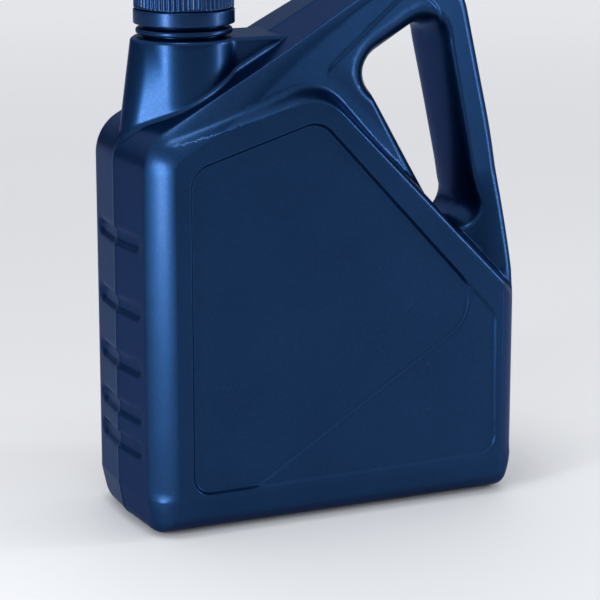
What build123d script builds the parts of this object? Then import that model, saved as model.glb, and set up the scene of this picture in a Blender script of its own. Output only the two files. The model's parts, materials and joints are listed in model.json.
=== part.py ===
from build123d import *
import math
import os

os.makedirs("parts", exist_ok=True)

# Four litre class blow-moulded jug with a ribbed screw cap, millimetres.
# +X runs from the neck to the handle, the label panels face -Y and +Y, the mould seam lies in
# the plane Y = 0, +Z is up and Z = 0 is the flat base.

# jug, overall
body_width = 208.0
body_depth = 90.0
wall = 1.4
side_draft = 5.0
front_edge_radius = 8.0

# base
base_band_height = 19.0
base_inset = 3.5
base_edge_radius = 6.0
push_up_depth = 1.5
foot_width = 12.0
outline_overrun = 10.0  # how far the drafted outlines pass below the base before it is cut flat

# shoulder and handle, outer outline
shoulder_corner_height = 195.3
shoulder_radius = 25.0
slope_angle = 29.0
handle_corner_inset = 32.8
handle_corner_radius = 34.0
leg_lean = 13.5
leg_blend_radius = 380.0
slab_depth_left = 86.0
slab_depth_right = 34.0
slab_edge_radius = 6.0

# thick front panel block
panel_left_height = 195.0
panel_rise_angle = 16.5
panel_peak_x = -7.7
panel_fall_angle = 45.9
panel_peak_radius = 20.0
panel_left_radius = 26.0
panel_right_radius = 16.0

# hand hole: three corners on the mould seam, measured in from the handle side and up from the
# base, each with its radius, and the wider corners that the dish opens to
hole_left = (84.4, 222.8)
hole_top = (41.5, 247.1)
hole_foot = (9.8, 100.0)
hole_radii = (12.0, 10.0, 9.0)
scoop_left = (113.0, 221.0)
scoop_top = (47.4, 269.4)
scoop_foot = (12.0, 131.0)
scoop_radii = (12.0, 18.0, 12.0)
scoop_floor = 12.0
scoop_lap = 0.5

# label recess: frame widths measured in from the block's outline, and two levels
frame_left = 24.0
frame_right = 19.0
frame_slopes = 19.5
frame_foot = 21.5
recess_depth = 1.2
recess_radii = (9.0, 12.0, 12.0, 12.0, 9.0)
label_depth = 1.2
label_step_angle = 30.5
label_step_height = 54.0
label_radii = (9.0, 12.0, 12.0, 24.0, 8.0)

# side grooves on the neck side
groove_heights = (42.0, 59.0, 83.0, 111.5, 145.5)
groove_height = 7.0
groove_length = 54.0
groove_depth = 1.5

# neck tower: a round core, a flare towards the side and a fin towards the handle
neck_from_side = 38.0
tower_radius = 26.0
tower_top = 241.0
tower_foot = 186.0
flare_top_lap = 0.6
flare_foot_from_side = 3.0
flare_top_radius = 20.0
flare_foot_radius = 12.0
fin_thickness = 38.0
fin_length = 54.0
fin_end_drop = 38.0
fin_foot = 205.0

# neck finish
finish_radius = 19.8
neck_wall = 2.5
finish_top = 271.0
thread_height = 1.2
bead_projection = 3.8
bead_base = 242.5
bead_height = 3.0
hook_bead_projection = 1.8
hook_bead_base = 250.2
hook_bead_height = 1.8

# closure
cap_wall = 3.0
cap_base = 255.0
cap_top_wall = 2.0
cap_clearance = 0.4
cap_edge_radius = 2.0
rib_count = 60
rib_groove_radius = 0.55
rib_run_out = 3.0
ring_wall = 2.7
ring_base = 247.5
ring_gap = 0.6
ring_hook_height = 1.2
ring_clearance = 0.4
liner_thickness = 1.0
liner_gap = 0.3
liner_clearance = 0.4

half_width = body_width / 2
half_depth = body_depth / 2

neck_x = neck_from_side - half_width
flare_top_x = neck_x - tower_radius - flare_top_lap
flare_foot_x = flare_foot_from_side - half_width
fin_end_x = neck_x + fin_length

bore_radius = finish_radius - neck_wall
bead_radius = finish_radius + bead_projection
hook_bead_radius = finish_radius + hook_bead_projection
cap_bore_radius = finish_radius + thread_height + cap_clearance
cap_radius = cap_bore_radius + cap_wall
ring_bore_radius = hook_bead_radius + ring_clearance
ring_radius = ring_bore_radius + ring_wall


def line_at(x, z, angle):
    """Point and unit direction of a line in the XZ plane, angle in degrees from +X."""
    return x, z, math.cos(math.radians(angle)), math.sin(math.radians(angle))


def crossing(first, second):
    """Where two such lines meet."""
    ax, az, dx, dz = first
    bx, bz, ex, ez = second
    along = ((bx - ax) * ez - (bz - az) * ex) / (dx * ez - dz * ex)
    return ax + along * dx, az + along * dz


left_side = line_at(-half_width, 0, 90)
right_side = line_at(half_width, 0, 90)
slope = line_at(-half_width, shoulder_corner_height, slope_angle)
handle_corner = crossing(slope, line_at(half_width - handle_corner_inset, 0, 90))
leg_line = line_at(*handle_corner, leg_lean - 90)
leg_foot = crossing(leg_line, right_side)

panel_top = line_at(-half_width, panel_left_height, panel_rise_angle)
panel_peak = crossing(panel_top, line_at(panel_peak_x, 0, 90))
panel_fall = line_at(*panel_peak, -panel_fall_angle)
panel_foot = crossing(panel_fall, right_side)


def rounded_face(points, radii, grow=0.0):
    """Outline with its corners rounded, grown outwards or, if negative, inwards."""
    face = make_face(FilletPolyline(*points, radius=list(radii), close=True))
    if grow:
        face = offset(face, amount=grow)
    return face


def both_halves(face, depth, taper=0.0):
    """Solid from one upright outline, drawn to each side of the mould seam with the mould's draft."""
    front = extrude(Plane.XZ * face, amount=depth, taper=taper)
    return front + mirror(front, about=Plane.XZ)


def whole_outline(grow):
    """Everything but the neck tower: base, sides, shoulder slope and handle."""
    points = [
        (-half_width, -outline_overrun),
        (-half_width, shoulder_corner_height),
        handle_corner,
        leg_foot,
        (half_width, -outline_overrun),
    ]
    radii = (0, shoulder_radius, handle_corner_radius, leg_blend_radius, 0)
    return rounded_face(points, radii, grow)


def panel_outline(grow):
    """The thick block behind the label panels, up to its sloping upper edges."""
    points = [
        (-half_width, -outline_overrun),
        (-half_width, panel_left_height),
        panel_peak,
        panel_foot,
        (half_width, -outline_overrun),
    ]
    radii = (0, panel_left_radius, panel_peak_radius, panel_right_radius, 0)
    return rounded_face(points, radii, grow)


def round_front_edges(solid, radius):
    """Round the edges of the two faces furthest front and back, but for those below the base."""
    faces = [solid.faces().sort_by(Axis.Y)[0], solid.faces().sort_by(Axis.Y)[-1]]
    edges = [edge for face in faces for edge in face.edges() if edge.center().Z > 0]
    return fillet(edges, radius)


def thick_block(inset):
    """Body block at full depth with rounded front and back edges."""
    block = both_halves(panel_outline(-inset), half_depth - inset, side_draft)
    return round_front_edges(block, front_edge_radius - inset)


def handle_slab(inset):
    """Thinner slab of the whole outline, its faces closing towards the handle."""
    slab = both_halves(whole_outline(-inset), half_depth, side_draft)
    left = slab_depth_left / 2 - inset
    right = slab_depth_right / 2 - inset
    reach = half_width + 1
    wedge_plan = Polyline((-reach, -left), (reach, -right), (reach, right), (-reach, left), close=True)
    wedge = extrude(make_face(wedge_plan), amount=handle_corner[1])
    return round_front_edges(slab & wedge, slab_edge_radius - inset)


def base_envelope(inset):
    """What the jug stays within: the base band closes towards the foot, with a rounded edge."""
    width = body_width - 2 * inset
    depth = body_depth - 2 * inset
    close = 2 * base_inset
    foot = Plane.XY.offset(inset) * Rectangle(width - close, depth - close)
    crease = Plane.XY.offset(base_band_height) * Rectangle(width, depth)
    band = loft([foot, crease])
    edges = band.faces().sort_by(Axis.Z)[0].edges()
    band = fillet(edges, base_edge_radius)
    return band + extrude(crease, amount=handle_corner[1])


def from_handle_side(corners):
    """Corners given by their distance from the handle side, as points of the model."""
    return [(half_width - inset, height) for inset, height in corners]


def hole_tools(grow):
    """Cutters for the hand hole: through at the seam outline, dished open towards each face."""
    throat_corners = from_handle_side((hole_left, hole_top, hole_foot))
    rim_corners = from_handle_side((scoop_left, scoop_top, scoop_foot))
    throat = rounded_face(throat_corners, hole_radii, grow)
    start = rounded_face(throat_corners, hole_radii, grow - scoop_lap)
    rim = rounded_face(rim_corners, scoop_radii, grow)
    near = Plane.XZ.offset(scoop_floor - grow)
    far = Plane.XZ.offset(slab_depth_left / 2)
    dish = loft([near * start, far * rim], ruled=True)
    return [both_halves(throat, half_depth + 1), dish, mirror(dish, about=Plane.XZ)]


def offset_line(line, distance):
    """A line moved to its right by a distance."""
    x, z, dx, dz = line
    return x + dz * distance, z - dx * distance, dx, dz


def recess_corners():
    """Corners of the label recess, parallel to the block's own sides."""
    left = offset_line(left_side, frame_left)
    top = offset_line(panel_top, frame_slopes)
    fall = offset_line(panel_fall, frame_slopes)
    right = line_at(half_width - frame_right, 0, 90)
    foot = line_at(0, frame_foot, 0)
    return [crossing(foot, left), crossing(left, top), crossing(top, fall), crossing(fall, right),
            crossing(right, foot)]


def label_corners():
    """The deeper label area: the recess with its lower right cut off by a slanting step."""
    foot_left, top_left, peak, right_top, right_foot = recess_corners()
    step = line_at(0, label_step_height, label_step_angle)
    fall = offset_line(panel_fall, frame_slopes)
    foot = line_at(0, frame_foot, 0)
    return [foot_left, top_left, peak, crossing(fall, step), crossing(step, foot)]


def sunk_panel_tools(grow):
    """Cutters for the label recess and the label area in it, front and back."""
    tools = []
    levels = (
        (recess_corners(), recess_radii, recess_depth),
        (label_corners(), label_radii, recess_depth + label_depth),
    )
    for corners, radii, depth in levels:
        face = rounded_face(corners, radii, grow)
        floor = Plane.XZ.offset(half_depth - depth - grow)
        tool = extrude(floor * face, amount=depth + grow + 1)
        tools += [tool, mirror(tool, about=Plane.XZ)]
    return tools


def groove_tools(grow):
    """Cutters for the round-ended grooves that cross the neck side's mould seam."""
    core = thick_block(groove_depth + grow)
    tools = []
    for height in groove_heights:
        slot = SlotOverall(groove_length + 2 * grow, groove_height + 2 * grow)
        start = Plane.YZ.offset(-half_width - 1) * Pos(0, height) * slot
        tools.append(extrude(start, amount=groove_length / 4) - core)
    return tools


def push_up_tool(grow):
    """Shallow hollow under the base, inside the flat foot."""
    margin = 2 * (base_inset + foot_width)
    size = Rectangle(body_width - margin + 2 * grow, body_depth - margin + 2 * grow)
    return extrude(size, amount=push_up_depth + grow)


def jug_body(inset):
    """Body, shoulder and handle with their sunk features, without the neck tower."""
    solid = handle_slab(inset)
    for tool in hole_tools(inset):
        solid = solid - tool
    solid = solid + thick_block(inset)
    solid = solid & base_envelope(inset)
    for tool in sunk_panel_tools(inset) + groove_tools(inset) + [push_up_tool(inset)]:
        solid = solid - tool
    return solid


def tower_section(flare_x, flare_radius, grow):
    """Plan of the tower at one level: round core and side flare joined by tangents."""
    small = flare_radius + grow
    large = tower_radius + grow
    flare_centre = flare_x + flare_radius
    lean = math.asin((large - small) / (neck_x - flare_centre))
    small_x = flare_centre - small * math.sin(lean)
    small_y = small * math.cos(lean)
    large_x = neck_x - large * math.sin(lean)
    large_y = large * math.cos(lean)
    edges = [
        ThreePointArc((small_x, small_y), (flare_centre - small, 0), (small_x, -small_y)),
        Line((small_x, -small_y), (large_x, -large_y)),
        ThreePointArc((large_x, -large_y), (neck_x + large, 0), (large_x, large_y)),
        Line((large_x, large_y), (small_x, small_y)),
    ]
    return make_face(edges)


def neck_tower(inset):
    """Flared tower under the neck, with the fin that runs into the shoulder slope."""
    foot = Plane.XY.offset(tower_foot) * tower_section(flare_foot_x, flare_foot_radius, -inset)
    top = Plane.XY.offset(tower_top - inset) * tower_section(flare_top_x, flare_top_radius, -inset)
    core = loft([foot, top], ruled=True)
    fin_points = (
        (neck_x, tower_top - inset),
        (fin_end_x, tower_top - inset),
        (fin_end_x, tower_top - fin_end_drop),
        (neck_x, fin_foot),
    )
    fin = both_halves(rounded_face(fin_points, (0, 0, 0, 0)), fin_thickness / 2 - inset)
    return core + fin


def ring_between(inner, outer, base, height):
    """Plain ring about the neck axis."""
    plan = Circle(outer) - Circle(inner)
    return Pos(neck_x, 0, base) * extrude(plan, amount=height)


def disc(radius, base, height):
    """Plain disc about the neck axis."""
    return Pos(neck_x, 0, base) * extrude(Circle(radius), amount=height)


def jug():
    """The blow-moulded jug: one hollow shell, open at the neck."""
    shell = jug_body(0) + neck_tower(0)
    shell = shell + disc(finish_radius, tower_top - 1, finish_top - tower_top + 1)
    shell = shell + disc(bead_radius, bead_base, bead_height)
    shell = shell + disc(hook_bead_radius, hook_bead_base, hook_bead_height)
    hollow = jug_body(wall) + neck_tower(wall)
    shell = shell - hollow
    return shell - disc(bore_radius, tower_top - 2 * wall, finish_top)


def cap():
    """Screw cap: ribbed skirt and flat top."""
    underside = finish_top + liner_thickness + 2 * liner_gap
    height = underside + cap_top_wall - cap_base
    body = disc(cap_radius, cap_base, height)
    body = fillet(body.edges().filter_by(GeomType.CIRCLE).sort_by(Axis.Z)[-1], cap_edge_radius)
    grooves = [loc * Circle(rib_groove_radius) for loc in PolarLocations(cap_radius, rib_count)]
    cutters = Pos(neck_x, 0, cap_base) * extrude(Sketch() + grooves, amount=height - rib_run_out)
    bore = disc(cap_bore_radius, cap_base, underside - cap_base)
    return body - cutters - bore


def tamper_ring():
    """Ring left on the neck when the cap's bridges break, hooked under the neck's upper bead."""
    height = cap_base - ring_gap - ring_base
    band = ring_between(ring_bore_radius, ring_radius, ring_base, height)
    return band + ring_between(finish_radius + ring_clearance, ring_radius, ring_base, ring_hook_height)


def liner():
    """Sealing disc carried in the cap."""
    return disc(cap_bore_radius - liner_clearance, finish_top + liner_gap, liner_thickness)


nodes = {"bottle": jug, "cap": cap, "tamper_ring": tamper_ring, "liner": liner}
for name, build in nodes.items():
    export_step(build(), f"parts/{name}.step")
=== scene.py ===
import json
import math
import bpy
import bmesh
import numpy as np
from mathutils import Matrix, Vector, geometry


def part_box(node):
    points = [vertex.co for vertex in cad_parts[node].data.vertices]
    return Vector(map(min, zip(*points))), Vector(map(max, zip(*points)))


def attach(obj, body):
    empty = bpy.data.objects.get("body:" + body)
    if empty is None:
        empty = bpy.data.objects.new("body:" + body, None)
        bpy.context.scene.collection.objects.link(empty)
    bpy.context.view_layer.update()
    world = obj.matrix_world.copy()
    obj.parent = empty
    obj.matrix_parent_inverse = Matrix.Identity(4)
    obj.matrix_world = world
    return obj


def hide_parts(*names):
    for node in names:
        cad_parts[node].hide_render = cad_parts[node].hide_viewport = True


# Blow-moulded oil jug with a ribbed screw cap. Shapes are worked out in millimetres, in the frame's axes.
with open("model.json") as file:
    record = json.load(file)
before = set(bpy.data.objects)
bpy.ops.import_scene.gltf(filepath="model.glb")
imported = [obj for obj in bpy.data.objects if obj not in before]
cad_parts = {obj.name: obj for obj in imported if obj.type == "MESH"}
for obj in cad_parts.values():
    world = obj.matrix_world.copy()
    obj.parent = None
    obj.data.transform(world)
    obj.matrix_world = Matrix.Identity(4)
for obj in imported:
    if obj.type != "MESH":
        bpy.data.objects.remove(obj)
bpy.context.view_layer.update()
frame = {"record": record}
millimetre = 0.001


def boxOf(node):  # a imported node's lowest and highest corners, in millimetres
    return [[value / millimetre for value in corner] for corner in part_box(node)]


jugBox, capBox, ringBox = boxOf("bottle"), boxOf("cap"), boxOf("tamper_ring")
joints = {joint["name"]: joint for joint in frame["record"]["behaviour"]["joints"]}
turns = joints["cap_turn"]["range_deg"][1] / 360
lead = joints["cap_lift"]["range_m"][1] / millimetre / turns  # how far the cap rises in one turn
print("frame loaded", jugBox)

seam = {"height": 0.25, "depths": (0, 0.3, 0.75), "lift": (1, 1, 0), "flatFrom": 0.6, "flatTo": 0.95}
sideX = jugBox[1][0] - seam["height"]  # half the body's width beside the mould seam
frontY = jugBox[1][1]  # half the body's depth
neckX = (capBox[0][0] + capBox[1][0]) / 2

body = {
    "draft": 5,  # degrees that the walls lean in from the mould seam
    "ridgeDepth": 33,  # half depth where the side walls end and the corner band starts
    "bandWidth": 12, "bandPower": 1.18, "handleBand": 5, "handlePower": 2.0, "baseBand": 12,
    "basePower": 1.9, "baseDrop": 7,
    "shoulderHeight": 195.3, "shoulderRadius": 25, "slope": 29,
    "handleCornerIn": 32.8, "handleCornerRadius": 34, "legLean": 13.5, "legBlend": 380,
    "baseHeight": 19, "baseIn": 3.5, "baseRadius": 10, "pushUp": 1.5, "footWidth": 14,
    "slabDepth": 31.5, "slabClose": 0.125, "slabLeast": 20.5, "slabSoft": 3,
    "pocketRise": 18, "pocketTop": 168, "pocketFoot": 103, "pocketPower": 1.25,
    "pocketFrom": 70, "pocketTo": 97, "ridgeMargin": 2, "handleMargin": 3, "ridgeSoft": 2,
    "dropFrom": 16, "dropTo": 2, "lowFrom": 24, "lowTo": 8,
}
panel = {
    "wallSlope": 4.0, "edgeSoft": 2.4, "footSoft": 4.0, "footMore": 10.0,
    "corners": [(-130, -40, 0), (130, -40, 0), (130, 73, 0), (-10.6, 216.3, 26), (-130, 180.7, 0)],
}
recess = {
    "depth": 1.6, "wallWidth": 2.1,
    "corners": [(-80.5, 21.5, 9), (86, 23, 9), (84.8, 96.5, 9), (-12.9, 202.2, 13), (-80.5, 182, 12)],
}
label = {
    "depth": 1.3, "wallWidth": 2.1,
    "corners": [
        (-80.5, 21.5, 9), (-46.2, 21.8, 22), (80.8, 100.8, 20), (-12.9, 202.2, 13), (-80.5, 182, 12),
    ],
}
handHole = {
    "corners": [(19.6, 222.8, 12), (94.2, 100, 9), (62.5, 247.1, 10)],
    "edgeAngles": [12, 60, 120, 165, 185, 214, 270, 300, 372],  # directions out of the hole, degrees
    "edgeWidths": [4.6, 8, 15, 17, 14, 7, 6, 5, 4.6],  # how far the rounding reaches in each of them
    "power": 2.0,
}
gripPad = {
    "height": 1.1, "wallWidth": 2.4, "fade": (10, 19),
    "corners": [(-9, 221, 9), (90.5, 137, 7), (55.6, 271.5, 18)],
}
grooves = {
    "heights": (42, 59, 83, 111.5, 145.5), "halfHeight": 3.5, "halfLength": 27, "depth": 1.5, "edge": 1.6,
}
tower = {
    "radius": 26, "top": 241, "edgeRadius": 2, "flareTop": 20, "flareFoot": 12, "flareTopX": -92.6,
    "flareFootX": -101, "footHeight": 186, "finHalf": 19, "finBlend": 9, "finEnd": -17.5,
    "filletRadius": 2.6, "filletSink": 0.12, "levels": 24, "finColumns": 9,
}
finish = {
    "radius": 19.8, "bore": 17.3, "top": 271, "beadRadius": 23.6, "beadBase": 242.5, "beadHeight": 3.0,
    "hookRadius": 21.6, "hookBase": 250.2, "hookHeight": 1.8, "boreFoot": 236,
    "threadHeight": 1.15, "threadStart": 257.5, "threadEnd": 267.5, "threadHalf": 1.25,
}
thread = {"crest": 1.4, "early": 0.5, "runOut": 1.5}
meshing = {
    "outlineStep": 1.5, "wallRings": 16, "grid": 2.5, "clear": 1.0, "snap": 0.2, "slopeGap": 0.12,
    "nearRidge": 0.12, "nearHole": 0.08, "weld": 2e-5,
    "neckColumns": 144, "ringColumns": 160, "ribColumns": 8,
    "bandShares": (0.015, 0.05, 0.11, 0.2, 0.31, 0.43, 0.56, 0.7, 0.82, 0.91, 0.97, 1.01, 1.07, 1.2),
    "holeAngles": (12, 24, 36, 48, 60, 72, 84, 94, 110),
    "stepShares": (-0.85, -0.5, -0.25, 0, 0.25, 0.5, 0.85),
    "padShares": (-0.9, -0.5, -0.25, 0, 0.25, 0.5, 0.9),
    "panelOffsets": (2.2, 1.4, 0.8, 0.3, -0.2, -0.8, -1.5, -2.4, -3.3, -4.2, -5.2, -6.5),
}


def smooth(value, low=0.0, high=1.0):
    t = np.clip((value - low) / (high - low), 0, 1)
    return t * t * (3 - 2 * t)


def softMin(a, b, width):
    blend = np.clip(0.5 + 0.5 * (b - a) / width, 0, 1)
    return b + (a - b) * blend - width * blend * (1 - blend)


def softMax(a, b, width):
    return -softMin(-np.asarray(a, float), -np.asarray(b, float), width)


def superRound(t, power):  # quarter of a rounded corner: upright at 0, level at 1
    t = np.clip(t, 0, 1)
    return (1 - (1 - t) ** power) ** (1 / power)


def roundedLoop(corners, step):  # closed outline with round corners, points about one step apart
    count = len(corners)
    points = []
    for index, (x, z, radius) in enumerate(corners):
        here = np.array((x, z), float)
        before = np.array(corners[index - 1][:2], float) - here
        after = np.array(corners[(index + 1) % count][:2], float) - here
        before /= np.linalg.norm(before)
        after /= np.linalg.norm(after)
        if radius == 0:
            points.append([here])
            continue
        half = math.acos(np.clip(before @ after, -1, 1)) / 2
        reach = radius / math.tan(half)
        centre = here + (before + after) / np.linalg.norm(before + after) * radius / math.sin(half)
        start = here + before * reach - centre
        stop = here + after * reach - centre
        turn = math.pi - 2 * half
        steps = max(3, int(radius * turn / step * 1.5))
        arc = []
        for share in np.arange(steps + 1) / steps:
            sweep = math.sin((1 - share) * turn) * start + math.sin(share * turn) * stop
            arc.append(centre + sweep / math.sin(turn))
        points.append(arc)
    loop = []
    for index, arc in enumerate(points):
        loop += arc
        nextPoint = points[(index + 1) % count][0]
        run = nextPoint - arc[-1]
        steps = int(np.linalg.norm(run) / step)
        loop += [arc[-1] + run * k / (steps + 1) for k in range(1, steps + 1)]
    loop = np.array(loop)
    keep = np.linalg.norm(loop - np.roll(loop, 1, 0), axis=1) > 0.02
    loop = loop[keep]
    area = np.sum(loop[:, 0] * np.roll(loop[:, 1], -1) - np.roll(loop[:, 0], -1) * loop[:, 1])
    return loop if area > 0 else loop[::-1]


def insideDistance(points, loop, chunk=1500):  # distance into the loop, less than 0 outside; nearest spot
    runs = np.roll(loop, -1, 0) - loop
    squares = (runs ** 2).sum(1)
    ends = loop + runs
    distances = np.empty(len(points))
    spots = np.empty(len(points))
    for first in range(0, len(points), chunk):
        part = points[first:first + chunk]
        offset = part[:, None, :] - loop[None]
        along = np.clip((offset * runs).sum(2) / squares, 0, 1)
        gap = np.hypot(offset[..., 0] - along * runs[:, 0], offset[..., 1] - along * runs[:, 1])
        best = gap.argmin(1)
        straddle = (loop[:, 1] > part[:, 1:]) != (ends[:, 1] > part[:, 1:])
        rise = np.where(runs[:, 1] == 0, 1, runs[:, 1])
        crossX = loop[:, 0] + (part[:, 1:] - loop[:, 1]) * runs[:, 0] / rise
        inside = (straddle & (part[:, :1] < crossX)).sum(1) % 2 == 1
        distances[first:first + chunk] = np.where(inside, 1, -1) * gap[np.arange(len(part)), best]
        spots[first:first + chunk] = best + along[np.arange(len(part)), best]
    return distances, spots


def valueAt(values, spots):  # values given at an outline's points, read between them
    before = np.floor(spots).astype(int)
    share = spots - before
    return values[before % len(values)] * (1 - share) + values[(before + 1) % len(values)] * share


def outwardNormals(loop):
    tangent = np.roll(loop, -1, 0) - np.roll(loop, 1, 0)
    tangent /= np.linalg.norm(tangent, axis=1)[:, None]
    return np.stack([tangent[:, 1], -tangent[:, 0]], 1)


def wholeOutline():
    slope = math.tan(math.radians(body["slope"]))
    lean = math.tan(math.radians(body["legLean"]))
    cornerX = sideX - body["handleCornerIn"]
    cornerZ = body["shoulderHeight"] + (cornerX + sideX) * slope
    legFoot = cornerZ - (sideX - cornerX) / lean
    base = sideX - body["baseIn"]
    return [
        (-base, 0, body["baseRadius"]), (base, 0, body["baseRadius"]), (sideX, body["baseHeight"], 4),
        (sideX, legFoot, body["legBlend"]), (cornerX, cornerZ, body["handleCornerRadius"]),
        (-sideX, body["shoulderHeight"], body["shoulderRadius"]), (-sideX, body["baseHeight"], 4),
    ]


outline = roundedLoop(wholeOutline(), meshing["outlineStep"])
panelLoop = roundedLoop(panel["corners"], 2.0)
recessLoop = roundedLoop(recess["corners"], 2.0)
labelLoop = roundedLoop(label["corners"], 2.0)
holeLoop = roundedLoop(handHole["corners"], 1.5)
padLoop = roundedLoop(gripPad["corners"], 1.6)


def holeEdgeWidths():  # reach of the hole's rounding at each point of its outline
    normals = outwardNormals(holeLoop)
    angles = np.degrees(np.arctan2(normals[:, 1], normals[:, 0])) % 360
    angles = np.where(angles < handHole["edgeAngles"][0], angles + 360, angles)
    widths = np.interp(angles, handHole["edgeAngles"], handHole["edgeWidths"])
    for _ in range(6):
        widths = (np.roll(widths, 1) + widths + np.roll(widths, -1)) / 3
    return widths


holeWidths = holeEdgeWidths()


def slabAndPanel(points):  # half depth of the plain skin: a tapering slab with the panel's thick block on it
    x, z = points[:, 0], points[:, 1]
    slab = softMax(body["slabDepth"] - body["slabClose"] * x, body["slabLeast"], body["slabSoft"])
    climb = np.clip((body["pocketTop"] - z) / (body["pocketTop"] - body["pocketFoot"]), 0, 1)
    toEdge = smooth(x, body["pocketFrom"], body["pocketTo"])
    slab = slab + body["pocketRise"] * climb ** body["pocketPower"] * toEdge
    panelIn = insideDistance(points, panelLoop)[0]
    block = softMin(frontY + panelIn * panel["wallSlope"], frontY, panel["edgeSoft"] * panel["wallSlope"])
    footSoft = panel["footSoft"] + panel["footMore"] * smooth(-x, -30, 12)
    skin = softMax(block, slab, footSoft)
    taper = body["baseIn"] * np.clip(body["baseHeight"] - z, 0, None) / body["baseHeight"]
    return np.minimum(skin, frontY - taper), panelIn


def ridgeDepth(points, skin):  # half depth where the wall ends
    margin = body["ridgeMargin"] + body["handleMargin"] * smooth(points[:, 0], -20, 40)
    low = body["baseDrop"] * smooth(-points[:, 1], -body["dropFrom"], -body["dropTo"])
    return softMin(skin - margin, body["ridgeDepth"], body["ridgeSoft"]) - low


def wallStep(distance, width):  # soft step from 0 to 1, centred on an outline
    return smooth(distance, -width / 2, width / 2)


def wallRings():  # rings of the side wall, from the mould seam to the ridge
    skin = slabAndPanel(outline * 0.97 + np.array([0, 3]))[0]
    edge = ridgeDepth(outline, skin)
    for _ in range(4):
        edge = (np.roll(edge, 1) + edge + np.roll(edge, -1)) / 3
    normals = outwardNormals(outline)
    leanIn = math.tan(math.radians(body["draft"])) * (1 - np.clip(-normals[:, 1], 0, 1) ** 2)
    rings = []
    flat = smooth(-normals[:, 1], seam["flatFrom"], seam["flatTo"])  # no seam ridge under the base
    for depth, lift in zip(seam["depths"], seam["lift"]):
        place = outline + normals * (seam["height"] * lift * (1 - flat) - leanIn * depth)[:, None]
        rings.append(np.stack([place[:, 0], np.full(len(place), -float(depth)), place[:, 1]], 1))
    for share in np.linspace(0, 1, meshing["wallRings"])[1:]:
        depth = seam["depths"][-1] + (edge - seam["depths"][-1]) * share
        place = outline - normals * (leanIn * depth)[:, None]
        rings.append(np.stack([place[:, 0], -depth, place[:, 1]], 1))
    return rings


rings = wallRings()
ridgeLoop = rings[-1][:, [0, 2]]
ridgeDepths = -rings[-1][:, 1]


def depthField(points):  # half depth of the finished skin inside the ridge
    x, z = points[:, 0], points[:, 1]
    skin, panelIn = slabAndPanel(points)
    padIn = insideDistance(points, padLoop)[0]
    padFade = smooth(-panelIn, *gripPad["fade"])
    skin = skin + gripPad["height"] * wallStep(padIn, gripPad["wallWidth"]) * padFade
    for loop, look in ((recessLoop, recess), (labelLoop, label)):
        skin = skin - look["depth"] * wallStep(insideDistance(points, loop)[0], look["wallWidth"])
    ridgeIn, nearRidge = insideDistance(points, ridgeLoop)
    edge = valueAt(ridgeDepths, nearRidge)
    above = smooth(-panelIn, 0, 10) * smooth(x, -60, 20)
    width = body["bandWidth"] + (body["handleBand"] - body["bandWidth"]) * above
    power = body["bandPower"] + (body["handlePower"] - body["bandPower"]) * above
    low = smooth(-z, -body["lowFrom"], -body["lowTo"])
    width = width + (body["baseBand"] - width) * low
    power = power + (body["basePower"] - power) * low
    depth = edge + (skin - edge) * superRound(np.maximum(ridgeIn, 0) / width, power)
    holeOut, nearHole = insideDistance(points, holeLoop)
    return depth * superRound(-holeOut / valueAt(holeWidths, nearHole), handHole["power"])


def bandPoints(loop, offsets, keepNear=0.93):  # copies of an outline moved inwards (+) or outwards (-)
    normals = outwardNormals(loop)
    found = []
    for offset in offsets:
        moved = loop - normals * np.broadcast_to(offset, len(loop))[:, None]
        distance = insideDistance(moved, loop)[0]
        found.append(moved[np.abs(distance) >= keepNear * np.abs(offset) - 0.01])
    return np.concatenate(found)


def skinPoints():
    holeShares = 1 - np.cos(np.radians(meshing["holeAngles"]))
    features = np.concatenate([
        bandPoints(ridgeLoop, [share * body["bandWidth"] for share in meshing["bandShares"]]),
        bandPoints(holeLoop, [-share * holeWidths for share in holeShares]),
        bandPoints(recessLoop, [share * recess["wallWidth"] for share in meshing["stepShares"]]),
        bandPoints(labelLoop, [share * label["wallWidth"] for share in meshing["stepShares"]]),
        bandPoints(padLoop, [share * gripPad["wallWidth"] for share in meshing["padShares"]]),
        bandPoints(panelLoop, meshing["panelOffsets"]),
    ])
    step = meshing["grid"]
    xs, zs = np.arange(-sideX, sideX, step), np.arange(0, jugBox[1][2], step)
    grid = np.array([(x + (row % 2) * step / 2, z) for row, z in enumerate(zs) for x in xs])
    clear = np.ones(len(grid), bool)
    for first in range(0, len(grid), 400):
        gaps = np.linalg.norm(grid[first:first + 400, None] - features[None], axis=2)
        clear[first:first + 400] = gaps.min(1) > meshing["clear"]
    points = np.concatenate([features, grid[clear]])
    inRidge = insideDistance(points, ridgeLoop)[0] > meshing["nearRidge"]
    outOfHole = insideDistance(points, holeLoop)[0] < -meshing["nearHole"]
    points = points[inRidge & outOfHole]
    cells = np.unique(np.round(points / meshing["snap"]).astype(int), axis=0, return_index=True)[1]
    return points[np.sort(cells)]


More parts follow.
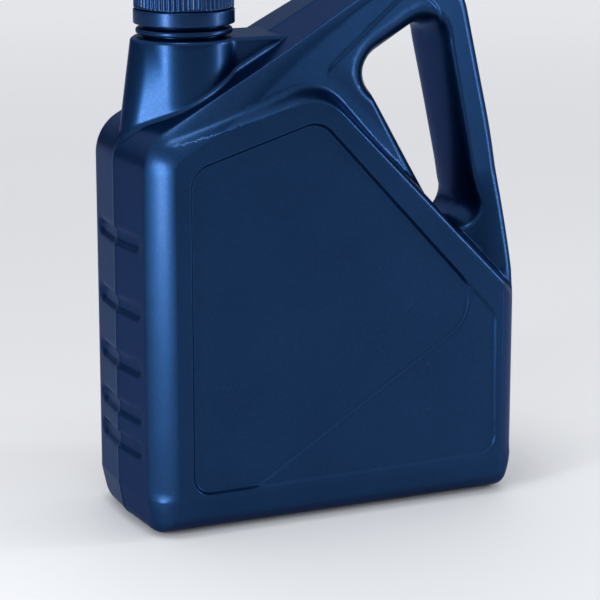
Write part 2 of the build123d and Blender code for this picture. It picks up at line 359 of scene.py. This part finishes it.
def skinMesh():  # triangles of the front skin, from the ridge to the hand hole's seam line
    inner = skinPoints()
    points = np.concatenate([ridgeLoop, holeLoop, inner])
    ridgeCount, holeCount = len(ridgeLoop), len(holeLoop)
    edges = [(k, (k + 1) % ridgeCount) for k in range(ridgeCount)]
    edges += [(ridgeCount + k, ridgeCount + (k + 1) % holeCount) for k in range(holeCount)]
    made = geometry.delaunay_2d_cdt([Vector(point) for point in points], edges, [], 0, 1e-4)
    flat = np.array([tuple(vertex) for vertex in made[0]])
    faces = np.array([tuple(face) for face in made[2]])
    origins = made[3]  # for each vertex, the points it came from
    middles = flat[faces].mean(1)
    keep = (insideDistance(middles, ridgeLoop)[0] > 0) & (insideDistance(middles, holeLoop)[0] < 0)
    depth = depthField(flat)
    onRidge = np.array([any(o < ridgeCount for o in origin) for origin in origins])
    holeEnd = ridgeCount + holeCount
    onHole = np.array([any(ridgeCount <= o < holeEnd for o in origin) for origin in origins])
    depth[onHole] = 0
    for k, origin in enumerate(origins):
        if onRidge[k]:
            depth[k] = ridgeDepths[min(origin)]
    gap = meshing["slopeGap"]
    slopeX = (depthField(flat + (gap, 0)) - depthField(flat - (gap, 0))) / (2 * gap)
    slopeZ = (depthField(flat + (0, gap)) - depthField(flat - (0, gap))) / (2 * gap)
    normals = np.stack([-slopeX, -np.ones(len(flat)), -slopeZ], 1)
    normals /= np.linalg.norm(normals, axis=1)[:, None]
    place = np.stack([flat[:, 0], -depth, flat[:, 1]], 1)
    fixed = ~(onRidge | onHole)
    return place, faces[keep], normals, fixed


def pressIn(place):  # side grooves and the push-up under the base, pressed into the wall's rings
    x, y, z = place[:, 0], place[:, 1], place[:, 2]
    reach = grooves["halfLength"] - grooves["halfHeight"]
    for height in grooves["heights"]:
        away = np.hypot(np.clip(np.abs(y) - reach, 0, None), z - height) - grooves["halfHeight"]
        press = grooves["depth"] * smooth(-away, -grooves["edge"] / 2, grooves["edge"] / 2)
        place[:, 0] += np.where(x < -sideX / 2, press, 0)
    spare = np.minimum(sideX - body["footWidth"] - np.abs(x), frontY - body["footWidth"] - np.abs(y))
    place[:, 2] += np.where(z < 1, body["pushUp"] * smooth(spare, 0, 3), 0)
    return place


def gridFaces(rows, columns, closed):
    faces = []
    for row in range(rows - 1):
        for column in range(columns if closed else columns - 1):
            after = (column + 1) % columns
            low, high = row * columns, (row + 1) * columns
            faces.append((low + column, low + after, high + after, high + column))
    return faces


def towerSection(level):  # plan of the tower at a height, open at the handle end
    share = (tower["top"] - level) / (tower["top"] - tower["footHeight"])
    small = tower["flareTop"] + (tower["flareFoot"] - tower["flareTop"]) * share
    flareX = tower["flareTopX"] + (tower["flareFootX"] - tower["flareTopX"]) * share
    large = tower["radius"]
    centre = flareX + small
    lean = math.asin((large - small) / (neckX - centre))
    points = []
    for angle in np.linspace(0, math.pi / 2 - lean, 12):  # flare, from its tip round to the tangent
        points.append((centre - small * math.cos(angle), -small * math.sin(angle)))
    blend, half = tower["finBlend"], tower["finHalf"]
    meetY = half + blend
    meetX = neckX + math.sqrt((large + blend) ** 2 - meetY ** 2)
    stop = math.atan2(meetY, meetX - neckX)
    for angle in np.linspace(math.pi / 2 + lean, stop, 26):
        points.append((neckX + large * math.cos(angle), -large * math.sin(angle)))
    for angle in np.linspace(stop, math.pi / 2, 8)[1:]:
        points.append((meetX - blend * math.cos(angle), -(meetY - blend * math.sin(angle))))
    for x in np.linspace(meetX, tower["finEnd"], 9)[1:]:
        points.append((x, -half))
    front = np.array(points)
    back = front[1:][::-1] * (1, -1)
    return np.concatenate([back, front])


def slopeHeight(x, y):  # height of the shoulder and slope under the tower
    top = outline[(outline[:, 1] > 150) & (outline[:, 0] < 60)]
    top = top[np.argsort(top[:, 0])]
    lean = math.tan(math.radians(body["draft"])) / math.cos(math.radians(body["slope"]))
    return np.interp(x, top[:, 0], top[:, 1]) - np.abs(y) * lean


def towerRings():
    topRow = towerSection(tower["top"] - tower["edgeRadius"])
    count = len(topRow)
    found = []
    normals = outwardNormals(topRow)
    if normals[count // 2, 0] > 0:
        normals = -normals
    normals[0], normals[-1] = (0, 1), (0, -1)
    foot = slopeHeight(topRow[:, 0], topRow[:, 1])
    levels = np.linspace(tower["footHeight"], tower["top"], tower["levels"])
    columns = np.array([towerSection(level) for level in levels])

    def at(height):  # the section's points, each at a height of its own
        height = np.clip(height, levels[0], levels[-1])
        place = np.empty((count, 2))
        for k in range(count):
            place[k, 0] = np.interp(height[k], levels, columns[:, k, 0])
            place[k, 1] = np.interp(height[k], levels, columns[:, k, 1])
        return place

    for _ in range(3):
        base = at(foot + 1)
        foot = slopeHeight(base[:, 0], base[:, 1])
    ceiling = tower["top"] - tower["edgeRadius"]
    radius = np.minimum(tower["filletRadius"], np.clip((ceiling - foot) * 0.5, 0.05, None))
    for angle in np.radians((90, 70, 50, 30, 15, 0)):  # fillet on the ledge, from its foot up
        out = radius * (1 - math.cos(angle))
        place = at(foot + radius) + normals * out[:, None]
        ground = slopeHeight(place[:, 0], place[:, 1])
        lift = radius * (1 - math.sin(angle)) - (tower["filletSink"] if angle > 1.5 else 0)
        height = np.minimum(ground + lift, ceiling)
        found.append(np.column_stack([place, height]))
    start = found[-1][:, 2]
    for share in np.linspace(0, 1, 12)[1:]:
        height = start + (ceiling - start) * share
        found.append(np.column_stack([at(height), height]))
    last = at(np.full(count, float(ceiling)))
    for angle in np.radians((22, 45, 67, 90)):
        place = last - normals * tower["edgeRadius"] * (1 - math.cos(angle))
        height = ceiling + tower["edgeRadius"] * math.sin(angle)
        found.append(np.column_stack([place, np.full(count, height)]))
    rim = found[-1]
    angles = np.unwrap(np.arctan2(rim[:, 1], rim[:, 0] - neckX))
    circle = np.stack([neckX + finish["radius"] * np.cos(angles), finish["radius"] * np.sin(angles)], 1)
    for share in (0.35, 0.7, 1.0):
        place = rim[:, :2] + (circle - rim[:, :2]) * share
        found.append(np.column_stack([place, np.full(count, float(tower["top"]))]))
    return np.concatenate(found), gridFaces(len(found), count, False)


def finEndMesh():  # the platform's last stretch, from the neck to where it runs into the slope
    low, high = tower["finEnd"], tower["finEnd"] + 1
    half = tower["finHalf"] - tower["edgeRadius"]
    across = np.linspace(-1, 1, tower["finColumns"])
    turn = math.atan2(half, low - neckX) * across
    level = np.full(len(across), float(tower["top"]))
    inner = np.column_stack([neckX + finish["radius"] * np.cos(turn), finish["radius"] * np.sin(turn), level])
    outer = np.column_stack([np.full(len(across), low), half * across, level])
    rows = [inner + (outer - inner) * share for share in np.linspace(0, 1, 8)]
    rows.append(outer + (high - low, 0, 0))
    return np.concatenate(rows), gridFaces(len(rows), len(across), False)


def revolved(profile, count, shift=None):  # turned about the neck's axis; shift bends the radius by place
    profile = np.array(profile, float)
    angles = np.arange(count) / count * 2 * math.pi
    radius = np.repeat(profile[:, 0], count)
    height = np.repeat(profile[:, 1], count)
    turn = np.tile(angles, len(profile))
    if shift is not None:
        radius = radius + shift(radius, height, turn)
    place = np.stack([neckX + radius * np.cos(turn), radius * np.sin(turn), height], 1)
    return place, gridFaces(len(profile), count, True)


def roundCorner(r, z, radius, startAngle, stopAngle, steps=5):  # points of a small arc about (r, z)
    angles = np.radians(np.linspace(startAngle, stopAngle, steps))
    return [(r + radius * math.cos(a), z + radius * math.sin(a)) for a in angles]


def threadRise(look, z, turn, lag=0):  # height of a thread above its wall; lag is a share of a turn
    rise = np.zeros(len(z))
    start, end = look["threadStart"], look["threadEnd"]
    for lap in range(-1, 4):
        centre = start + lead * (turn / (2 * math.pi) + lap + lag)
        runs = smooth(centre, start - thread["early"], start + thread["runOut"])
        runs = runs * smooth(-centre, -end, -end + thread["runOut"])
        rise += runs * np.clip(thread["crest"] * (1 - np.abs(z - centre) / look["threadHalf"]), 0, 1)
    return rise * look["threadHeight"]


def neckMesh():
    radius, top = finish["radius"], finish["top"]
    bead, hook = finish["beadBase"], finish["hookBase"]
    beadR, hookR = finish["beadRadius"], finish["hookRadius"]
    foot, beadTop, hookTop = tower["top"], bead + finish["beadHeight"], hook + finish["hookHeight"]
    profile = [(radius + 1.2, foot - 0.1), (radius + 0.4, foot + 0.3), (radius, foot + 0.9)]
    profile += [(radius, bead), (radius + 1, bead)]
    profile += roundCorner(beadR - 1.1, bead + 1.1, 1.1, -90, 0)
    profile += roundCorner(beadR - 1.3, beadTop - 1.3, 1.3, 0, 90)
    profile += [(radius + 0.5, beadTop), (radius, beadTop + 0.5)]
    profile += [(radius, hook - 0.4), (radius + 0.4, hook)]
    profile += roundCorner(hookR - 0.5, hook + 0.5, 0.5, -90, 20)
    profile += [(radius + 0.6, hookTop), (radius, hookTop + 0.5)]
    profile += [(radius, z) for z in np.arange(hook + 3.2, top - 1, 0.5)]
    profile += roundCorner(radius - 0.7, top - 0.7, 0.7, 0, 90)
    profile += roundCorner(finish["bore"] + 0.7, top - 0.7, 0.7, 90, 180)
    profile += [(finish["bore"], z) for z in (268, 262, 255, 248, 242)]
    profile.append((finish["bore"] + 1.5, finish["boreFoot"]))

    def onNeck(r, z, turn):  # the thread, on the outside only
        return np.where(r > radius - 0.05, threadRise(finish, z, turn), 0)

    return revolved(profile, meshing["neckColumns"], onNeck)


def buildJug():
    wallPlaces = np.concatenate(rings)
    wallFaces = gridFaces(len(rings), len(outline), True)
    middles = wallPlaces[np.array(wallFaces)].mean(1)
    overBore = np.hypot(middles[:, 0] - neckX, middles[:, 1]) < finish["bore"]
    gone = overBore & (middles[:, 2] > tower["footHeight"] - 36)  # the shoulder is open under the neck
    wallFaces = [face for face, isGone in zip(wallFaces, gone) if not isGone]
    wallPlaces = pressIn(wallPlaces)
    skinPlaces, skinFaces, skinNormals, fixed = skinMesh()
    print("skin", len(skinPlaces), "points", len(skinFaces), "triangles")
    places, faces, wanted = [], [], []

    def add(newPlaces, newFaces, normals=None, mask=None):
        start = sum(len(batch) for batch in places)
        places.append(newPlaces)
        faces.extend([tuple(int(i) + start for i in face) for face in newFaces])
        if normals is None:
            normals = np.zeros((len(newPlaces), 3))
        else:
            normals = np.where(mask[:, None], normals, 0)
        wanted.append(normals)

    for side in (1, -1):
        flip = np.array((1, side, 1))
        add(wallPlaces * flip, [tuple(face)[::side] for face in wallFaces])
        add(skinPlaces * flip, [tuple(face)[::side] for face in skinFaces], skinNormals * flip, fixed)
    add(*towerRings())
    add(*finEndMesh())
    add(*neckMesh())
    return np.concatenate(places), faces, np.concatenate(wanted)


def makeMesh(name, places, faces, wanted=None):  # places in millimetres; wanted normals are zero where free
    mesh = bpy.data.meshes.new(name)
    mesh.from_pydata([tuple(place) for place in places * millimetre], [], faces)
    work = bmesh.new()
    work.from_mesh(mesh)
    keys = ("wantX", "wantY", "wantZ")
    if wanted is not None:
        layer = [work.verts.layers.float.new(key) for key in keys]
        work.verts.ensure_lookup_table()
        for vertex, normal in zip(work.verts, wanted):
            for part, value in zip(layer, normal):
                vertex[part] = float(value)
    bmesh.ops.remove_doubles(work, verts=work.verts, dist=meshing["weld"])
    bmesh.ops.recalc_face_normals(work, faces=work.faces)
    work.to_mesh(mesh)
    work.free()
    mesh.polygons.foreach_set("use_smooth", [True] * len(mesh.polygons))
    if wanted is not None:
        own = np.empty(len(mesh.vertices) * 3)
        mesh.vertices.foreach_get("normal", own)
        own = own.reshape(-1, 3)
        asked = np.array([[item.value for item in mesh.attributes[key].data] for key in keys]).T
        for key in keys:
            mesh.attributes.remove(mesh.attributes[key])
        use = (np.linalg.norm(asked, axis=1) > 0.5)[:, None]
        asked = np.where((asked * own).sum(1)[:, None] < 0, -asked, asked)
        mesh.normals_split_custom_set_from_vertices(np.where(use, asked, own).tolist())
    piece = bpy.data.objects.new(name, mesh)
    bpy.context.scene.collection.objects.link(piece)
    return piece


def fitted(piece, body, node):  # what the piece rides on and the imported node it stands for, which is hidden
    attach(piece, body)
    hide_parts(node)
    return piece


jugPiece = fitted(makeMesh("jugShell", *buildJug()), "jug", "bottle")
print("jug built", len(jugPiece.data.polygons), "faces")

closure = {
    "capRadius": 24.4, "capBore": 21.4, "capBase": 255, "topWall": 2, "edgeRadius": 2.2,
    "ribs": 60, "ribDepth": 0.62, "ribFoot": 0.9, "ribRunOut": 3.2, "ribSharpness": 2.2,
    "ringRadius": 24.7, "ringBore": 22.0, "ringFoot": 20.2, "ringHook": 1.2, "ringRound": 0.45,
    "threadHeight": 0.95, "threadHalf": 1.0, "threadStart": 258.5, "threadEnd": 267.0,
}


def capMesh():
    outer, bore = closure["capRadius"], closure["capBore"]
    base, top = closure["capBase"], capBox[1][2]
    edge, under = closure["edgeRadius"], top - closure["topWall"]
    ribTop = top - closure["ribRunOut"]
    profile = [(0.01, top), (outer * 0.35, top), (outer * 0.62, top), (outer - edge - 1.4, top)]
    profile += roundCorner(outer - edge, top - edge, edge, 90, 0, 9)
    profile += [(outer, z) for z in np.linspace(ribTop + 0.6, ribTop - 1.6, 6)]
    profile += [(outer, z) for z in np.linspace(ribTop - 3, base + 2.2, 6)]
    profile += [(outer, base + 1.4), (outer, base + 0.9), (outer, base + 0.45)]
    profile += [(outer - 0.12, base + 0.14), (outer - 0.45, base)]
    profile += [(bore + 0.5, base), (bore + 0.1, base + 0.15), (bore, base + 0.6)]
    profile += [(bore, z) for z in np.arange(base + 1.2, under - 0.4, 0.5)]
    profile += [(bore - 0.2, under), (bore * 0.5, under), (0.01, under)]

    def ribsAndThread(r, z, turn):
        groove = (0.5 + 0.5 * np.cos(turn * closure["ribs"])) ** closure["ribSharpness"]
        foot = base + 0.3
        height = smooth(-z, -ribTop - 0.4, -ribTop + 1.8) * smooth(z, foot, foot + closure["ribFoot"])
        ribs = -closure["ribDepth"] * groove * height * (r > outer - 0.02)
        inside = (np.abs(r - bore) < 0.02) & (z > base + 1) & (z < under - 0.4)
        return ribs - np.where(inside, threadRise(closure, z, turn, lag=0.5), 0)

    return revolved(profile, closure["ribs"] * meshing["ribColumns"], ribsAndThread)


def ringMesh():
    outer, bore, soft = closure["ringRadius"], closure["ringBore"], closure["ringRound"]
    base, top = ringBox[0][2], ringBox[1][2]
    hook, foot = base + closure["ringHook"], closure["ringFoot"]
    profile = roundCorner(outer - soft, top - soft, soft, 90, 0)
    profile += [(outer, top - 2), (outer, base + 2)]
    profile += roundCorner(outer - soft, base + soft, soft, 0, -90)
    profile += [(foot + 0.3, base), (foot, base + 0.4), (foot, hook - 0.2)]
    profile += [(bore - 0.3, hook), (bore, hook + 0.4), (bore, top - 0.4), (bore + 0.4, top)]
    profile.append(profile[0])
    return revolved(profile, meshing["ringColumns"])


capPiece = fitted(makeMesh("ribbedCap", *capMesh()), "closure", "cap")
ringPiece = fitted(makeMesh("tamperBand", *ringMesh()), "jug", "tamper_ring")
print("cap and band built", len(capPiece.data.polygons), len(ringPiece.data.polygons))


class Wire:  # a node's output that can be used in sums
    def __init__(self, graph, socket):
        self.graph = graph
        self.socket = socket

    def sum(self, operation, first, second):
        made = self.graph.node("ShaderNodeMath", {"operation": operation}, {0: first, 1: second})
        return self.graph.out(made)

    def __add__(self, other):
        return self.sum("ADD", self, other)

    def __radd__(self, other):
        return self.sum("ADD", other, self)

    def __sub__(self, other):
        return self.sum("SUBTRACT", self, other)

    def __rsub__(self, other):
        return self.sum("SUBTRACT", other, self)

    def __mul__(self, other):
        return self.sum("MULTIPLY", self, other)

    def __rmul__(self, other):
        return self.sum("MULTIPLY", other, self)


class Graph:  # the node tree of a material, or of the world
    def __init__(self, owner):
        self.material = bpy.data.materials.new(owner) if isinstance(owner, str) else owner
        self.material.use_nodes = True
        self.tree = self.material.node_tree
        self.tree.nodes.clear()

    def node(self, kind, settings=None, sockets=None):
        made = self.tree.nodes.new(kind)
        for key, value in (settings or {}).items():
            setattr(made, key, value)
        for key, value in (sockets or {}).items():
            if isinstance(value, Wire):
                self.tree.links.new(value.socket, made.inputs[key])
            else:
                made.inputs[key].default_value = value
        return made

    def out(self, made, name=0):
        return Wire(self, made.outputs[name])

    def places(self):
        return self.out(self.node("ShaderNodeTexCoord"), "Object")

    def noise(self, where, scale, detail=2.0):
        sockets = {"Vector": where, "Scale": scale, "Detail": detail}
        return self.out(self.node("ShaderNodeTexNoise", {}, sockets), "Fac")

    def cells(self, where, scale):
        return self.node("ShaderNodeTexVoronoi", {"feature": "F1"}, {"Vector": where, "Scale": scale})

    def bump(self, height, strength, distance):
        sockets = {"Height": height, "Strength": strength, "Distance": distance}
        return self.out(self.node("ShaderNodeBump", {}, sockets))

    def spread(self, value, low, high):  # a value's range stretched to 0..1
        sockets = {"Value": value, "From Min": low, "From Max": high}
        return self.out(self.node("ShaderNodeMapRange", {}, sockets))

    def mix(self, factor, first, second):
        made = self.node("ShaderNodeMix", {"data_type": "RGBA"}, {"Factor": factor, 6: first, 7: second})
        return self.out(made, 2)

    def finish(self, sockets):
        shader = self.node("ShaderNodeBsdfPrincipled", {}, sockets)
        self.node("ShaderNodeOutputMaterial", {}, {"Surface": self.out(shader)})
        return self.material


jugFinish = {
    "deep": (0.0050, 0.025, 0.078, 1), "light": (0.0062, 0.030, 0.090, 1), "flake": (0.020, 0.066, 0.18, 1),
    "flakeSize": 0.00028, "flakeShare": 0.14, "metallic": 0.92, "roughness": 0.31,
    "coat": 0.08, "coatRoughness": 0.2, "edgeTint": (0.34, 0.42, 0.58, 1),
    "swirlSize": 0.05, "skinGrain": 0.0011, "grainHeight": 0.000012,
}
capFinish = {
    "deep": (0.0055, 0.025, 0.080, 1), "light": (0.0070, 0.030, 0.094, 1), "flake": (0.022, 0.066, 0.18, 1),
    "flakeSize": 0.00028, "flakeShare": 0.12, "metallic": 0.85, "roughness": 0.33,
    "coat": 0.12, "coatRoughness": 0.2, "edgeTint": (0.34, 0.42, 0.58, 1),
    "swirlSize": 0.02, "skinGrain": 0.0008, "grainHeight": 0.000010,
}
linerFinish = {
    "pale": (0.80, 0.80, 0.77, 1), "shade": (0.66, 0.66, 0.63, 1), "cellSize": 0.0007, "roughness": 0.7,
    "cellHeight": 0.00005,
}


def flakedPlastic(name, look):
    graph = Graph(name)
    where = graph.places()
    swirl = graph.noise(where, 1 / look["swirlSize"], 3.0)
    cells = graph.out(graph.cells(where, 1 / look["flakeSize"]), "Color")
    chance = graph.out(graph.node("ShaderNodeSeparateColor", {}, {"Color": cells}), "Red")
    flake = graph.spread(chance, 1 - look["flakeShare"], 1.0)
    grain = graph.noise(where, 1 / look["skinGrain"], 2.0)
    base = graph.mix(graph.spread(swirl, 0.3, 0.7), look["deep"], look["light"])
    colour = graph.mix(flake * 0.55, base, look["flake"])
    rough = look["roughness"] - 0.05 * flake + 0.06 * graph.spread(swirl, 0.25, 0.75) + 0.05 * (grain - 0.5)
    bump = graph.bump(grain + 0.35 * flake, 0.5, look["grainHeight"])
    metal = look["metallic"] + 0.08 * flake
    return graph.finish({
        "Base Color": colour, "Roughness": rough, "Metallic": metal, "Normal": bump,
        "Coat Weight": look["coat"], "Coat Roughness": look["coatRoughness"], "IOR": 1.5,
        "Specular Tint": look["edgeTint"],
    })


def foamedLiner(look):
    graph = Graph("linerFoam")
    where = graph.places()
    depth = graph.out(graph.cells(where, 1 / look["cellSize"]), "Distance")
    tone = graph.mix(graph.spread(depth, 0.1, 0.7), look["pale"], look["shade"])
    bump = graph.bump(depth, 0.6, look["cellHeight"])
    rough = look["roughness"] + 0.1 * graph.noise(where, 900)
    return graph.finish({"Base Color": tone, "Roughness": rough, "Normal": bump})


def coat(piece, material):
    piece.data.materials.clear()
    piece.data.materials.append(material)


coat(jugPiece, flakedPlastic("jugPlastic", jugFinish))
closurePlastic = flakedPlastic("closurePlastic", capFinish)
coat(capPiece, closurePlastic)
coat(ringPiece, closurePlastic)
linerNode = bpy.data.objects["liner"]
for slot in linerNode.material_slots:
    slot.material = foamedLiner(linerFinish)
print("materials done")

studio = {
    # the floor's two tones are painted shade near the jug and painted light far off, evening out the lamps'
    # light on the floor
    "floorNearPaintedShade": (0.68, 0.69, 0.70, 1), "floorFarPaintedLight": (0.93, 0.935, 0.955, 1), "floorSize": 4.0,
    "zenith": (0.90, 0.90, 0.92, 1), "horizon": (0.10, 0.12, 0.16, 1), "skyFrom": 0.05, "skyTo": 0.42,
    "spread": 150,  # degrees that each light's beam opens to
    "lights": [  # name, place, aim, width, height, watts, colour
        ("keyLight", (-0.66, -0.30, 0.20), (-0.1, 0, 0.15), 0.13, 0.38, 2.6, (0.95, 0.98, 1.0)),
        ("topLight", (-0.20, -0.15, 1.1), (0, 0, 0.2), 0.26, 0.20, 1.4, (1.0, 1.0, 1.0)),
        ("sideLight", (0.70, -0.46, 0.16), (0.05, 0, 0.12), 0.09, 0.30, 1.1, (0.93, 0.97, 1.0)),
        ("edgeLight", (0.90, -0.34, 0.42), (0.05, 0, 0.16), 0.12, 0.24, 1.8, (0.95, 0.98, 1.0)),
    ],
}
view = {"place": (-0.4925, -1.0687, 0.3859), "aim": (-0.0042, 0, 0.1028), "lens": 142.4, "sensor": 36}


def aimed(thing, place, aim):
    thing.location = place
    thing.rotation_euler = (Vector(aim) - Vector(place)).to_track_quat("-Z", "Y").to_euler()
    bpy.context.scene.collection.objects.link(thing)


def makeStudio():
    size = studio["floorSize"]
    corners = [(-size, -size, 0), (size, -size, 0), (size, size, 0), (-size, size, 0)]
    mesh = bpy.data.meshes.new("studioFloor")
    mesh.from_pydata(corners, [], [(0, 1, 2, 3)])
    floor = bpy.data.objects.new("studioFloor", mesh)
    bpy.context.scene.collection.objects.link(floor)
    graph = Graph("paleFloor")
    where = graph.places()
    away = graph.out(graph.node("ShaderNodeVectorMath", {"operation": "LENGTH"}, {0: where}), "Value")
    cloud = 0.06 * graph.noise(where, 6.0)
    # painted shade and light: the floor's colour runs darker near the jug and lighter far off to even out the
    # lamps' pool and fall-off; the cloud on top is random tone
    tone = graph.mix(graph.spread(away, 0.35, 2.2) + cloud, studio["floorNearPaintedShade"], studio["floorFarPaintedLight"])
    coat(floor, graph.finish({"Base Color": tone, "Roughness": 0.6}))
    world = bpy.data.worlds.new("softRoom")
    bpy.context.scene.world = world
    world.use_nodes = True
    sky = Graph(world)
    direction = sky.out(sky.node("ShaderNodeTexCoord"))
    upward = sky.out(sky.node("ShaderNodeSeparateXYZ", {}, {0: direction}), "Z")
    climb = sky.spread(upward, studio["skyFrom"], studio["skyTo"])
    glow = sky.mix(climb, studio["horizon"], studio["zenith"])
    light = sky.node("ShaderNodeBackground", {}, {"Color": glow})
    sky.node("ShaderNodeOutputWorld", {}, {"Surface": sky.out(light)})
    for name, place, aim, width, height, watts, colour in studio["lights"]:
        lamp = bpy.data.lights.new(name, "AREA")
        lamp.shape = "RECTANGLE"
        lamp.size, lamp.size_y = width, height
        lamp.energy, lamp.color = watts, colour
        lamp.spread = math.radians(studio["spread"])
        aimed(bpy.data.objects.new(name, lamp), place, aim)


def makeCamera():
    camera = bpy.data.cameras.new("camera")
    camera.lens, camera.sensor_width = view["lens"], view["sensor"]
    piece = bpy.data.objects.new("camera", camera)
    aimed(piece, view["place"], view["aim"])
    bpy.context.scene.camera = piece


makeStudio()
makeCamera()
bpy.context.scene.view_settings.view_transform = "Standard"
print("studio and camera done")
